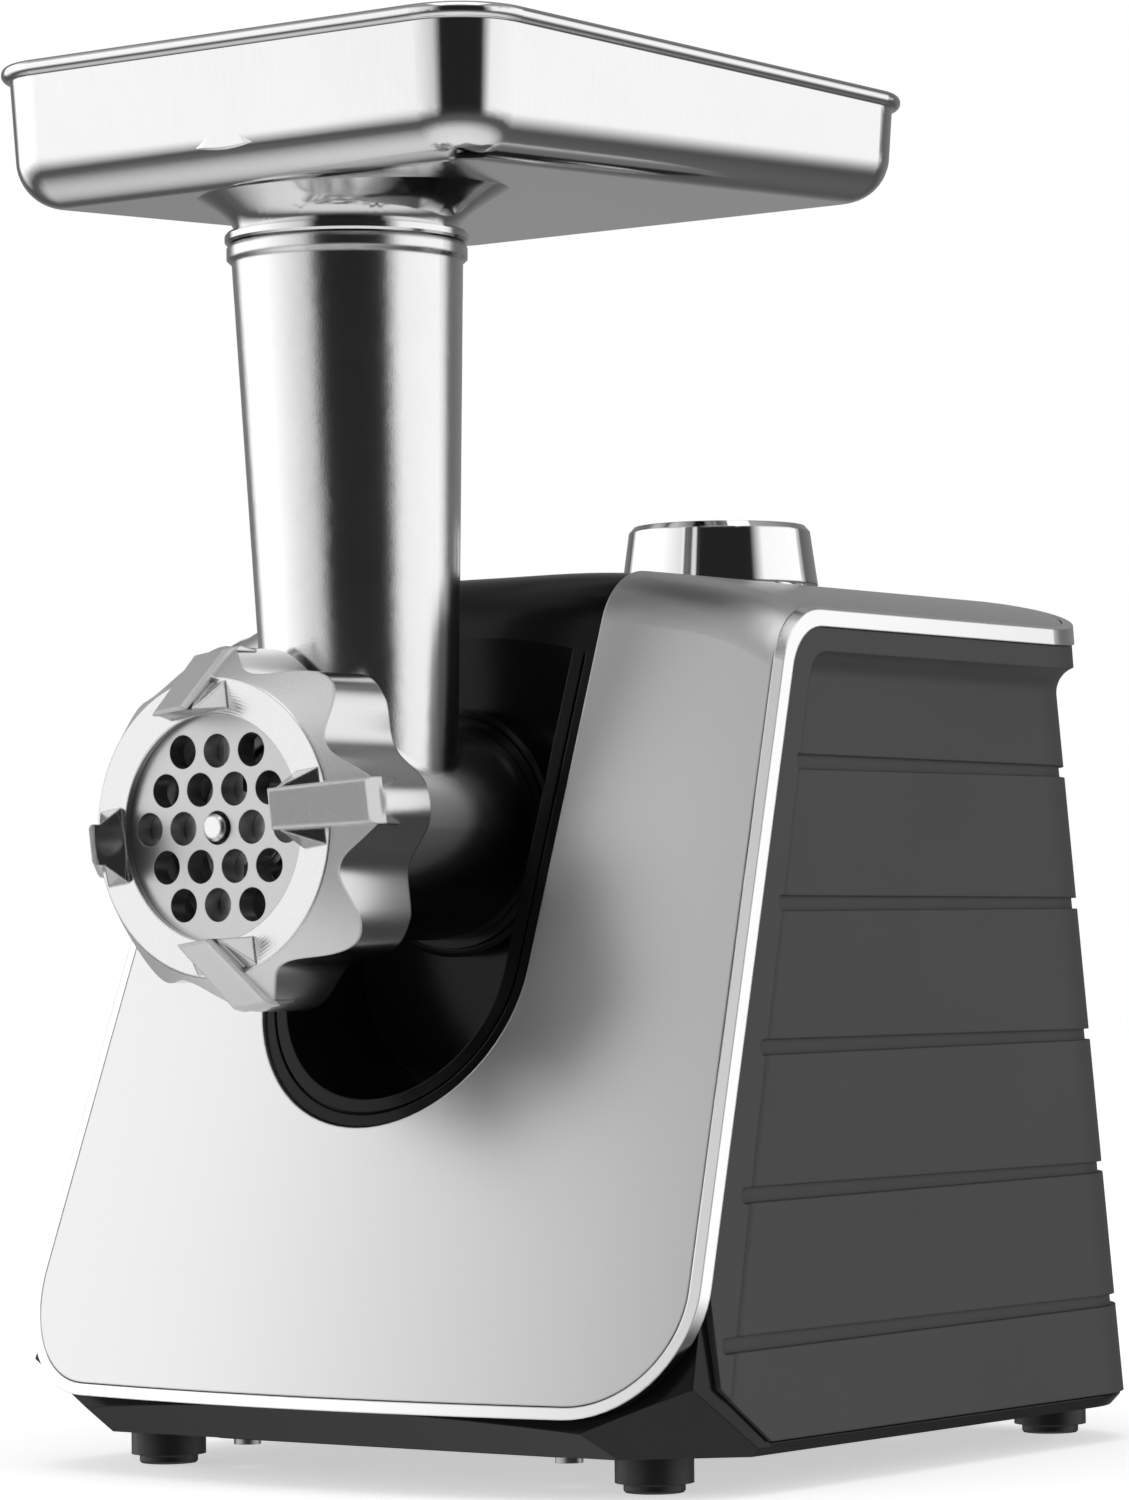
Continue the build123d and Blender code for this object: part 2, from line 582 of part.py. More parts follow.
def make_knob():
    """Turned knob cap with a pointer groove, on its switch spindle."""
    cap = turned_z([(0, 229.0), (22.6, 229.0), (23.0, KNOB_LOW), (26.3, KNOB_LOW), (24.3, KNOB_TOP - 1.6),
                    (22.9, KNOB_TOP), (21.4, KNOB_TOP), (20.6, KNOB_TOP - 0.7), (0, KNOB_TOP - 0.7)], 0, KNOB_Y)
    cap = cap - Pos(0, KNOB_Y - 13, KNOB_TOP - 0.5) * Box(1.6, 11, 1.6)
    cap = cap - rod_z(3.0, 228, 236, 0, KNOB_Y)
    save("knob_cap", cap)
    save("switch_spindle", rod_z(3.0, 205.0, 235.9, 0, KNOB_Y))
    body = block(-15, 15, KNOB_Y - 15, KNOB_Y + 15, 190, 210) + rod_z(7.0, 210, 214, 0, KNOB_Y)
    body = body - rod_z(3.0 + BUSH_GAP, 204.5, 220, 0, KNOB_Y)
    for x in (-9, 0, 9):
        body = body + block(x - 2.4, x + 2.4, KNOB_Y + 14, KNOB_Y + 21, 194, 194.8)
    save("rotary_switch", body)
    bracket = block(-22, 22, KNOB_Y - 17, KNOB_Y + 17, 214.2, 216.2) - rod_z(4.4, 210, 220, 0, KNOB_Y)
    bracket = bracket - block(-18, 18, KNOB_Y - 18, KNOB_Y - 16, 210, 220)
    for x in (-20, 20):
        bracket = bracket + rod_z(2.6, 216, 219.6, x, KNOB_Y - 12) + rod_z(2.6, 216, 219.6, x, KNOB_Y + 12)
    save("switch_bracket", bracket)


def make_button():
    """Head release button with its flange and stem, and the coil spring round the stem."""
    x, z = BUTTON
    button = turned_y([(0, -33.6), (3.9, -33.6), (4.5, -33.0), (4.5, -27.4), (6.4, -27.4), (6.4, -25.9),
                       (2.4, -25.9), (2.4, -11.0), (0, -11.0)], x, z)
    save("release_button", button)
    path = Rot(-90, 0, 0) * Helix(pitch=3.0, height=SPRING_LENGTH, radius=3.7)
    start = path @ 0
    wire = Plane(origin=start, z_dir=path % 0) * Circle(0.45)
    spring = sweep(wire, path=path, is_frenet=True)
    spring = Pos(x, -25.4 - spring.bounding_box().min.Y, z) * spring
    save("button_spring", spring)
    guide = block(x - 8, x + 8, -9.4, -7.4, z - 7, z + 7) - rod_y(2.9, -12, 0, x, z)
    for left in (x - 8, x + 6.8):
        guide = guide + block(left, left + 1.2, -27.4, -9.4, z - 7, z + 7)
    save("button_guide", guide)


def gear_face(teeth, module, phase):
    """Outline of an involute gear; phase is the angle of a tooth's middle in degrees."""
    pitch = teeth * module / 2
    base = pitch * cos(radians(PRESSURE_ANGLE))
    tip = pitch + 0.9 * module
    root = pitch - 1.2 * module
    lowest = max(base, root) + 0.001
    thickness = (pi * module - BACKLASH) / 2
    at_pitch = tan(radians(PRESSURE_ANGLE)) - radians(PRESSURE_ANGLE)

    def half_angle(radius):
        turn = acos(min(1.0, base / radius))
        return thickness / (2 * pitch) + at_pitch - (tan(turn) - turn)

    def point(radius, angle):
        return (radius * cos(angle), radius * sin(angle))

    radii = [lowest + (tip - lowest) * step / 4 for step in range(5)]
    edges = []
    step_angle = 2 * pi / teeth
    for tooth in range(teeth):
        middle = radians(phase) + tooth * step_angle
        rise = [point(r, middle - half_angle(r)) for r in radii]
        fall = [point(r, middle + half_angle(r)) for r in reversed(radii)]
        foot = half_angle(lowest)
        start = point(root, middle - foot)
        end = point(root, middle + foot)
        following = point(root, middle + step_angle - foot)
        edges.append(Line(start, rise[0]))
        edges.append(Spline(*rise))
        edges.append(ThreePointArc(rise[-1], point(tip, middle), fall[0]))
        edges.append(Spline(*fall))
        edges.append(Line(fall[-1], end))
        edges.append(ThreePointArc(end, point(root, middle + step_angle / 2), following))
    return make_face(edges)


def gear(teeth, module, span, place, phase, bore):
    """Spur gear between two Y positions on a shaft at (x, z)."""
    y0, y1 = span
    wheel = Rot(90, 0, 0) * extrude(gear_face(teeth, module, phase), y1 - y0)
    wheel = Pos(place[0], y1 - wheel.bounding_box().max.Y, place[1]) * wheel
    return wheel - rod_y(bore, y0 - 1, y1 + 1, place[0], place[1])


def heading(start, end):
    """Angle in degrees from one shaft to another."""
    x = end[0] - start[0]
    z = end[1] - start[1]
    angle = degrees(acos(x / sqrt(x * x + z * z)))
    return angle if z >= 0 else -angle


def make_gears():
    """Three spur stages: motor pinion 12:60, then 12:48 and 12:48."""
    out_low = heading(SHAFT_OUT, SHAFT_LOW)
    low_high = heading(SHAFT_LOW, SHAFT_HIGH)
    high_motor = heading(SHAFT_HIGH, MOTOR)
    wheel = gear(48, 1.5, STAGE_OUT, SHAFT_OUT, out_low, 11.0)
    save("output_gear", wheel)
    save("output_pinion", gear(12, 1.5, STAGE_OUT, SHAFT_LOW, out_low + 180 + 15, 4.0))
    wheel = gear(48, 1.25, STAGE_MID, SHAFT_LOW, low_high, 4.0)
    for count in range(6):
        angle = radians(60 * count)
        wheel = wheel - rod_y(5.5, 0, 40, SHAFT_LOW[0] + 18.5 * cos(angle), SHAFT_LOW[1] + 18.5 * sin(angle))
    save("middle_gear", wheel)
    save("middle_pinion", gear(12, 1.25, STAGE_MID, SHAFT_HIGH, low_high + 180 + 15, 4.0))
    wheel = gear(60, 1.0, STAGE_IN, SHAFT_HIGH, high_motor, 4.0)
    for count in range(6):
        angle = radians(60 * count)
        wheel = wheel - rod_y(5.5, 0, 40, SHAFT_HIGH[0] + 18.5 * cos(angle), SHAFT_HIGH[1] + 18.5 * sin(angle))
    save("first_gear", wheel)
    save("motor_pinion", gear(12, 1.0, STAGE_IN, MOTOR, high_motor + 180 + 15, 2.5))


def make_shafts():
    """Output shaft with its hexagonal socket, and the two intermediate shafts."""
    x, z = SHAFT_OUT
    shaft = rod_y(11.0, -8.2, 16.0, x, z) + rod_y(8.0, 15.0, 34.0, x, z)
    shaft = shaft - Pos(x, 0, z) * hexagon(HEX_FLATS + 0.7, -10, HEX_END + 1.0)
    save("output_shaft", shaft)
    save("middle_shaft", rod_y(4.0, -3.0, 34.0, SHAFT_LOW[0], SHAFT_LOW[1]))
    save("first_shaft", rod_y(4.0, -3.0, 34.0, SHAFT_HIGH[0], SHAFT_HIGH[1]))


def case_outline(margin):
    """Hull round the gears in local XY, where Y stands for height."""
    rings = [(SHAFT_OUT, 39.5), (SHAFT_LOW, 33.5), (SHAFT_HIGH, 33.0), (MOTOR, 12.0)]
    edges = []
    for (x, z), radius in rings:
        edges += (Pos(x, z) * Circle(radius + margin)).edges()
    return make_hull(edges)


def case_slab(margin, y0, y1):
    """The hull outline swept between two Y positions."""
    slab = Rot(90, 0, 0) * extrude(case_outline(margin), y1 - y0)
    return Pos(0, y1 - slab.bounding_box().max.Y, 0) * slab


def make_case():
    """Gear case, its cover, and the plain bushes of the shafts."""
    case = case_slab(3.0, CASE_FRONT, CASE_BACK - 4.2) - case_slab(0.0, 0.0, CASE_BACK)
    cover = case_slab(3.0, CASE_BACK - 4.0, CASE_BACK)
    bushes = []
    for place, front, back in ((SHAFT_OUT, 11.0, 8.0), (SHAFT_LOW, 4.0, 4.0), (SHAFT_HIGH, 4.0, 4.0)):
        x, z = place
        case = case - rod_y(front + 3.0, CASE_FRONT - 1, 1, x, z)
        cover = cover - rod_y(back + 3.0, 30, 40, x, z)
        bushes.append(tube_y(front + 3.0, front + BUSH_GAP, CASE_FRONT, 0.0, x, z))
        bushes.append(tube_y(back + 3.0, back + BUSH_GAP, CASE_BACK - 4.0, CASE_BACK, x, z))
    cover = cover - rod_y(7.0, 30, 40, MOTOR[0], MOTOR[1])
    screws = []
    for x, z in ((-34, 183), (34, 183), (57, 119), (-39, 82), (10, 49.5)):
        case = case + (rod_y(4.0, CASE_FRONT, CASE_BACK - 4.2, x, z) - case_slab(0.0, 0.0, CASE_BACK))
        cover = cover + (rod_y(4.0, CASE_BACK - 4.0, CASE_BACK, x, z))
        cover = cover - rod_y(2.0, 30, 40, x, z)
        case = case - rod_y(2.0, 8, 32, x, z)
        screws.append(rod_y(1.9, 10, CASE_BACK + 0.5, x, z) + rod_y(3.6, CASE_BACK + 0.05, CASE_BACK + 2.4, x, z))
    save("gear_case", case)
    save("gear_cover", cover)
    save("bushes", Compound(children=bushes))
    save("case_screws", Compound(children=screws))


def make_motor():
    """Series motor: rotor parts on one shaft, laminated stator, coils, brackets and brushes."""
    x, z = MOTOR
    shaft = rod_y(2.5, 22.5, 45, x, z) + rod_y(4.0, 37.5, 121, x, z)
    save("motor_shaft", shaft)
    core = tube_y(20.0, 4.0, 56, 92, x, z)
    for count in range(12):
        angle = radians(30 * count)
        core = core - rod_y(2.6, 50, 100, x + 15.6 * cos(angle), z + 15.6 * sin(angle))
        core = core - (Pos(x + 19 * cos(angle), 74, z + 19 * sin(angle)) * (Rot(0, -30 * count, 0) * Box(6, 50, 1.4)))
    save("rotor_core", core)
    windings = turned_y([(6, 50), (14, 50), (17.2, 52.5), (17.2, 55.9), (6, 55.9)], x, z)
    windings = windings + turned_y([(6, 92.1), (17.2, 92.1), (17.2, 95), (13, 97.5), (6, 97.5)], x, z)
    save("rotor_windings", Compound(children=list(windings.solids())))
    commutator = tube_y(11.0, 4.0, 99, 112, x, z)
    for count in range(12):
        angle = 15 + 30 * count
        slit = Pos(x + 10.6 * cos(radians(angle)), 104, z + 10.6 * sin(radians(angle)))
        commutator = commutator - slit * (Rot(0, -angle, 0) * Box(2.4, 14, 0.5))
    save("commutator", commutator)
    fan = tube_y(9.0, 4.0, 40, 49, x, z) + tube_y(31.0, 4.0, 40, 41.6, x, z)
    for count in range(9):
        blade = Pos(20.5, 45, 0) * (Rot(0, 24, 0) * Box(22, 8, 1.4))
        fan = fan + Pos(x, 0, z) * (Rot(0, 40 * count, 0) * blade)
    save("fan", fan & rod_y(31.0, 39, 49, x, z))
    stator = block(x - 35, x + 35, 56, 92, z - 32, z + 32)
    stator = fillet(stator.edges().filter_by(Axis.Y), 9)
    stator = stator - rod_y(20.7, 50, 100, x, z)
    for sign in (-1, 1):
        stator = stator - block(x + sign * 24.5 - 5, x + sign * 24.5 + 5, 50, 100, z - 22, z + 22)
    save("stator_core", stator)
    coils = []
    for sign in (-1, 1):
        for level in (-16, 16):
            coils.append(block(x + sign * 24.5 - 3.2, x + sign * 24.5 + 3.2, 52, 96, z + level - 5, z + level + 5))
    save("field_coils", Compound(children=coils))
    bearing = [tube_y(8.0, 4.0 + BUSH_GAP, 50.0 - 12.4, 50.0 - 10.4, x, z)]
    rear = tube_y(8.0, 4.0 + BUSH_GAP, 114, 120, x, z)
    save("motor_bearings", Compound(children=bearing + [rear]))
    bracket = block(x - 34, x + 34, 114, 118, z - 10, z + 10) - rod_y(8.0, 110, 125, x, z)
    for sign in (-1, 1):
        bracket = bracket + block(x + sign * 31.5 - 2.5, x + sign * 31.5 + 2.5, 92.1, 118, z - 8, z + 8)
    save("rear_bracket", bracket)
    ring = tube_y(37.2, 35.0, CASE_BACK + 0.1, 55.9, x, z) - block(x - 40, x + 40, 42, 50, z - 14, z + 14)
    plate = tube_y(37.2, 8.0, CASE_BACK + 2.6, 39.4, x, z)
    for count in range(6):
        angle = radians(30 + 60 * count)
        plate = plate - rod_y(6.5, 30, 45, x + 20 * cos(angle), z + 20 * sin(angle))
    save("front_bracket", ring + plate - rod_y(4.1, 54, 58, x + 34, z + 14))
    holders = []
    brushes = []
    for sign in (-1, 1):
        holder = block(x + sign * 21 - 6, x + sign * 21 + 6, 100, 111, z - 6, z + 6)
        holder = holder - block(x + sign * 20 - 9, x + sign * 20 + 9, 102, 109, z - 3.6, z + 3.6)
        holders.append(holder)
        brushes.append(block(x + sign * 17 - 5.6, x + sign * 17 + 5.6, 102.2, 108.8, z - 3.4, z + 3.4))
    save("brush_holders", Compound(children=holders))
    save("brushes", Compound(children=brushes))


def make_mounts():
    """Cradle that carries the motor and gear case on the base, and the rear cord inlet parts."""
    x, z = MOTOR
    cradle = block(-26, 26, 58, 90, BASE_LOW + 3.1, z - 32.1)
    cradle = cradle - block(-18, 18, 62, 86, BASE_LOW + 5, z - 20)
    foot = block(-20, 20, CASE_FRONT + 1, CASE_BACK - 6, BASE_LOW + 3.1, 45.3)
    foot = foot - case_slab(3.05, CASE_FRONT - 1, CASE_BACK) - block(-15, 15, 2, 24, 14, 60)
    save("motor_cradle", cradle)
    save("case_foot", foot)
    gland = turned_y([(4.2, FIELD_BACK - 9), (8.0, FIELD_BACK - 9), (8.0, FIELD_BACK + 0.1), (11.0, FIELD_BACK + 0.1),
                      (11.0, FIELD_BACK + 2.0), (8.6, FIELD_BACK + 4.4), (4.2, FIELD_BACK + 4.4)], 34, 30)
    save("cord_gland", gland)
    terminal = block(40, 66, 92, 104, BASE_LOW + 3.1, 26)
    for step in range(3):
        terminal = terminal - rod_z(2.6, 20, 30, 45 + 8 * step, 98)
    save("terminal_block", terminal)
    board = block(-62, -60.4, 40, 100, 90, 140)
    save("control_board", board)
    parts = [rod_x(6.0, -60.3, -46, 52, 104), rod_x(6.0, -60.3, -46, 70, 104),
             block(-60.3, -52, 82, 96, 96, 112), block(-60.3, -56, 46, 90, 124, 134)]
    save("board_parts", Compound(children=parts))
    posts = []
    for y, height in ((46, 96), (94, 96), (46, 134), (94, 134)):
        posts.append(rod_x(2.4, -72, -62.05, y, height))
    save("board_posts", Compound(children=posts))


if __name__ == "__main__":
    make_skins()
    make_covers()
    make_recess()
    make_base()
    make_collar()
    make_head()
    make_nut()
    make_plate()
    make_blade()
    make_auger()
    make_tray()
    make_knob()
    make_button()
    make_gears()
    make_shafts()
    make_case()
    make_motor()
    make_mounts()
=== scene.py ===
import bpy
from math import cos, radians, sin
from mathutils import Euler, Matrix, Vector


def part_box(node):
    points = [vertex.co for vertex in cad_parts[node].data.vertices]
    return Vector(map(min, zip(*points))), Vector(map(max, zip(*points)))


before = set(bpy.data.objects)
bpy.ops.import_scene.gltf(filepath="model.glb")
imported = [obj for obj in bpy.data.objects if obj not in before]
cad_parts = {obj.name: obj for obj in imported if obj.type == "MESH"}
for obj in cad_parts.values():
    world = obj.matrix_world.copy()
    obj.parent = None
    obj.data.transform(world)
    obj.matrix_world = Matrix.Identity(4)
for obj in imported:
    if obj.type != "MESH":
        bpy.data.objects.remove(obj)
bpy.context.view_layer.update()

print("frame loaded,", len(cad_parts), "nodes")


def span(node):
    low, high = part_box(node)
    return Vector(low), Vector(high)


def middle(node):
    low, high = span(node)
    return (low + high) / 2


class Signal:
    # one output socket that takes part in plain arithmetic; every operator adds a Math node
    def __init__(self, shading, socket):
        self.shading = shading
        self.socket = socket

    def math(self, operation, other=None, flip=False):
        ends = [self] if other is None else [self, other]
        if flip:
            ends.reverse()
        return self.shading.node("ShaderNodeMath", {"operation": operation}, dict(enumerate(ends)))

    def __add__(self, other):
        return self.math("ADD", other)

    def __radd__(self, other):
        return self.math("ADD", other, True)

    def __sub__(self, other):
        return self.math("SUBTRACT", other)

    def __rsub__(self, other):
        return self.math("SUBTRACT", other, True)

    def __mul__(self, other):
        return self.math("MULTIPLY", other)

    def __rmul__(self, other):
        return self.math("MULTIPLY", other, True)

    def __gt__(self, other):
        return self.math("GREATER_THAN", other)

    def __lt__(self, other):
        return self.math("LESS_THAN", other)

    def root(self):
        return self.math("SQRT")

    def sine(self):
        return self.math("SINE")

    def bearing(self, other):
        return self.math("ARCTAN2", other).math("DEGREES")

    def between(self, low, high):
        # 0 below low, 1 above high, a soft step in between
        return self.shading.node("ShaderNodeMapRange", {"interpolation_type": "SMOOTHSTEP"},
                                 {"Value": self, "From Min": low, "From Max": high})


class Shading:
    # a node tree and the one method that adds nodes to it
    def __init__(self, tree):
        self.tree = tree
        self.tree.nodes.clear()

    def put(self, socket, value):
        if isinstance(value, Signal):
            self.tree.links.new(value.socket, socket)
        else:
            socket.default_value = value

    def node(self, kind, settings=None, values=None, out=0):
        made = self.tree.nodes.new(kind)
        for key, value in (settings or {}).items():
            if key == "stops":
                ramp = made.color_ramp
                while len(ramp.elements) < len(value):
                    ramp.elements.new(1)
                for element, (position, level) in zip(ramp.elements, value):
                    element.position = position
                    element.color = (level, level, level, 1)
            else:
                setattr(made, key, value)
        for key, value in (values or {}).items():
            self.put(made.inputs[key], value)
        return Signal(self, made.outputs[out])

    def mix(self, amount, first, second):
        return self.node("ShaderNodeMix", {"data_type": "RGBA"}, {0: amount, 6: first, 7: second}, 2)

    def axis(self, place, name):
        return self.node("ShaderNodeSeparateXYZ", None, {0: place}, name)

    def close(self, kind, shader):
        # an output node has no socket of its own to hand back
        output = self.tree.nodes.new(kind)
        self.put(output.inputs["Surface"], shader)


class Finish(Shading):
    # one material, with its Principled shader ready to be fed
    def __init__(self, name, **constants):
        self.material = bpy.data.materials.new(name)
        self.material.use_nodes = True
        super().__init__(self.material.node_tree)
        shader = self.node("ShaderNodeBsdfPrincipled")
        self.close("ShaderNodeOutputMaterial", shader)
        self.inputs = shader.socket.node.inputs
        self.feed(**constants)
        self.place = self.node("ShaderNodeTexCoord", out="Object")

    def feed(self, **values):
        for key, value in values.items():
            self.put(self.inputs[key.replace("_", " ")], value)

    def stretched(self, scales):
        return self.node("ShaderNodeVectorMath", {"operation": "MULTIPLY"}, {0: self.place, 1: scales})

    def noise(self, scale, detail=3.0, roughness=0.55, where=None):
        values = {"Vector": where or self.place, "Scale": scale, "Detail": detail, "Roughness": roughness}
        return self.node("ShaderNodeTexNoise", None, values)

    def cells(self, scale):
        return self.node("ShaderNodeTexVoronoi", None, {"Vector": self.place, "Scale": scale})

    def grey(self, amount, dark, light, tint=(1.0, 1.0, 1.0)):
        first = tuple(dark * part for part in tint) + (1.0,)
        second = tuple(light * part for part in tint) + (1.0,)
        return self.mix(amount, first, second)

    def bump(self, height, strength, distance, under=None):
        values = {"Height": height, "Strength": strength, "Distance": distance}
        if under is not None:
            values["Normal"] = under
        return self.node("ShaderNodeBump", None, values)

    def rounded(self, radius):
        # softens sharp edges in the shading only
        return self.node("ShaderNodeBevel", {"samples": 4}, {"Radius": radius})


def wear(*nodes, finish):
    for name in nodes:
        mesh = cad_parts[name].data
        mesh.materials.clear()
        mesh.materials.append(finish.material)


camera = {
    "place": (0.8057, -1.0878, 0.1255),
    "turn": 36.242,      # degrees to the left of straight ahead
    "lift": 2.288,       # degrees above level
    "roll": -0.617,
    "lens": 127.36,
    "film": 36.0,
}


def aimCamera(settings):
    lens = bpy.data.cameras.new("camera")
    lens.lens = settings["lens"]
    lens.sensor_width = settings["film"]
    lens.sensor_fit = "AUTO"
    lens.clip_end = 50
    eye = bpy.data.objects.new("camera", lens)
    bpy.context.scene.collection.objects.link(eye)
    heading = Euler((0, 0, radians(settings["turn"]))).to_matrix()
    tilt = Euler((radians(90 + settings["lift"]), 0, 0)).to_matrix()
    roll = Euler((0, 0, radians(settings["roll"]))).to_matrix()
    eye.matrix_world = (heading @ tilt @ roll).to_4x4()
    eye.location = settings["place"]
    bpy.context.scene.camera = eye


aimCamera(camera)

studio = {
    "floorGrey": 0.9,
    "floorGlow": 0.6,
    "floorSize": 14.0,
    "floorRoughness": 0.9,
    "mottleScale": 6.0,
    "mottleLift": 1.03,     # the palest patches against the plain grey
    "lampPlace": (0.3, -0.4, 2.2),
    "lampTarget": (0, 0, 0.1),
    "lampSize": 1.6,
    "lampPower": 10.0,
    # what the object is lit by and mirrors, by degrees around it; 0 is the camera's side, right is positive
    "around": [(-180, 0.30), (-143, 0.14), (-132, 1.5), (-92, 1.5), (-66, 1.15), (-40, 0.8), (-27, 0.02),
               (38, 0.02), (54, 1.2), (112, 1.3), (122, 0.14), (180, 0.30)],
    # light by height, straight down is -1 and straight up is 1
    "upwards": [(-1.0, 1.0), (-0.8, 0.85), (-0.55, 0.14), (-0.22, 0.05), (0.4, 0.3), (0.8, 0.34),
                (1.0, 0.5)],
    # how far the ring of light counts at each height
    "ringReach": [(-1.0, 0.0), (-0.42, 0.0), (-0.06, 1.0), (0.52, 1.0), (0.78, 0.0), (1.0, 0.0)],
}
bpy.context.scene.view_settings.view_transform = "Standard"


def lightWorld(settings):
    world = bpy.data.worlds.new("studio")
    bpy.context.scene.world = world
    world.use_nodes = True
    sky = Shading(world.node_tree)
    where = sky.node("ShaderNodeTexCoord", out="Generated")

    def along(direction):
        ends = {0: where, 1: direction}
        return sky.node("ShaderNodeVectorMath", {"operation": "DOT_PRODUCT"}, ends, "Value")

    def ramp(value, stops, low, high):
        # a grey ramp over low..high
        scaled = (value - low) * (1 / (high - low))
        places = [((at - low) / (high - low), level) for at, level in stops]
        return sky.node("ShaderNodeValToRGB", {"stops": places}, {0: scaled})

    turn = radians(camera["turn"])
    ahead = along((sin(turn), -cos(turn), 0))
    across = along((cos(turn), sin(turn), 0))
    height = sky.axis(where, "Z")
    ring = ramp(across.bearing(ahead), settings["around"], -180, 180)
    plain = ramp(height, settings["upwards"], -1, 1)
    reach = ramp(height, settings["ringReach"], -1, 1)
    lit = sky.node("ShaderNodeBackground", None, {0: sky.mix(reach, plain, ring)})
    white = sky.node("ShaderNodeBackground", None, {0: (1, 1, 1, 1)})
    seen = sky.node("ShaderNodeLightPath", out="Is Camera Ray")
    sky.close("ShaderNodeOutputWorld", sky.node("ShaderNodeMixShader", None, {0: seen, 1: lit, 2: white}))


def layFloor(settings):
    reach = settings["floorSize"] / 2
    corners = [(-reach, -reach, 0), (reach, -reach, 0), (reach, reach, 0), (-reach, reach, 0)]
    mesh = bpy.data.meshes.new("floor")
    mesh.from_pydata(corners, [], [(0, 1, 2, 3)])
    floor = bpy.data.objects.new("floor", mesh)
    bpy.context.scene.collection.objects.link(floor)
    paper = Finish("floorPaper", Roughness=settings["floorRoughness"],
                   Emission_Strength=settings["floorGlow"])
    shade = settings["floorGrey"]
    tone = paper.grey(paper.noise(settings["mottleScale"]), shade, shade * settings["mottleLift"])
    paper.feed(Base_Color=tone, Emission_Color=tone)
    mesh.materials.append(paper.material)
    floor.visible_glossy = False    # polished parts mirror the studio instead


def hangLamp(settings):
    lamp = bpy.data.lights.new("softAbove", "AREA")
    lamp.energy = settings["lampPower"]
    lamp.size = settings["lampSize"]
    holder = bpy.data.objects.new("softAbove", lamp)
    bpy.context.scene.collection.objects.link(holder)
    holder.location = settings["lampPlace"]
    aim = Vector(settings["lampTarget"]) - Vector(settings["lampPlace"])
    holder.rotation_euler = aim.to_track_quat("-Z", "Y").to_euler()


lightWorld(studio)
layFloor(studio)
hangLamp(studio)
print("studio ready")

# in each finish: "edge" is the radius that sharp edges are softened by, "relief" is the height of its bumps
# in metres, and a scale is how many times a pattern repeats in a metre
silverPaint = {
    "metallic": 0.92,
    "coat": 0.15,
    "coatRoughness": 0.2,
    "dark": 0.60,
    "light": 0.68,
    "roughness": 0.27,
    "flakeScale": 5200.0,
    "cloudScale": 9.0,
    "strength": 0.05,
    "relief": 0.00005,
    "edge": 0.0006,
}


def makeSilverPaint(settings):
    finish = Finish("silverPaint", Metallic=settings["metallic"], Coat_Weight=settings["coat"],
                    Coat_Roughness=settings["coatRoughness"])
    flake = finish.noise(settings["flakeScale"], 2.0)
    cloud = finish.noise(settings["cloudScale"], 4.0)
    edges = finish.rounded(settings["edge"])
    finish.feed(Base_Color=finish.grey(flake * 0.6 + cloud * 0.4, settings["dark"], settings["light"]),
                Roughness=settings["roughness"] + 0.08 * cloud + 0.05 * flake,
                Normal=finish.bump(flake, settings["strength"], settings["relief"], edges))
    return finish


brightTrim = {"dark": 0.779, "light": 0.82, "roughness": 0.12, "streakScale": 900.0, "edge": 0.0005}


def makeBrightTrim(settings):
    finish = Finish("brightTrim", Metallic=1.0)
    streak = finish.noise(settings["streakScale"], 3.0)
    finish.feed(Base_Color=finish.grey(streak, settings["dark"], settings["light"]),
                Roughness=settings["roughness"] + 0.08 * streak, Normal=finish.rounded(settings["edge"]))
    return finish


coverPlastic = {
    "shine": 0.45,
    "dark": 0.030,
    "light": 0.040,
    "roughness": 0.48,
    "grainScale": 1500.0,
    "cloudScale": 14.0,
    "fineScale": 3200.0,
    "strength": 0.12,
    "relief": 0.00006,
    "edge": 0.0006,
}


def makeCoverPlastic(settings):
    finish = Finish("coverPlastic", Specular_IOR_Level=settings["shine"])
    grain = finish.cells(settings["grainScale"])
    cloud = finish.noise(settings["cloudScale"], 4.0)
    fine = finish.noise(settings["fineScale"], 2.0)
    edges = finish.rounded(settings["edge"])
    finish.feed(Base_Color=finish.grey(cloud * 0.7 + fine * 0.3, settings["dark"], settings["light"]),
                Roughness=settings["roughness"] + 0.10 * fine - 0.06 * cloud,
                Normal=finish.bump(grain, settings["strength"], settings["relief"], edges))
    return finish


blackGloss = {
    "shine": 0.14,
    "dark": 0.005,
    "light": 0.015,
    "roughness": 0.14,
    "dustScale": 420.0,
    "dustBounds": (0.62, 0.85),
    "hazeScale": 18.0,
    "rippleScale": 1800.0,
    "strength": 0.05,
    "relief": 0.00004,
    "edge": 0.0005,
}


def makeBlackGloss(settings):
    finish = Finish("blackGloss", Specular_IOR_Level=settings["shine"])
    dust = finish.noise(settings["dustScale"], 4.0, 0.7).between(*settings["dustBounds"])
    haze = finish.noise(settings["hazeScale"], 3.0)
    ripple = finish.noise(settings["rippleScale"], 2.0)
    edges = finish.rounded(settings["edge"])
    finish.feed(Base_Color=finish.grey(dust * 0.5, settings["dark"], settings["light"]),
                Roughness=settings["roughness"] + 0.12 * haze + 0.15 * dust,
                Normal=finish.bump(ripple, settings["strength"], settings["relief"], edges))
    return finish


castMetal = {
    "dark": 0.66,
    "light": 0.80,
    "roughness": 0.13,
    "grainScale": 1900.0,
    "blotchScale": 60.0,
    "pitScale": 900.0,
    "pitSize": 0.12,
    "strength": 0.35,
    "relief": 0.00007,
    "edge": 0.0008,
}


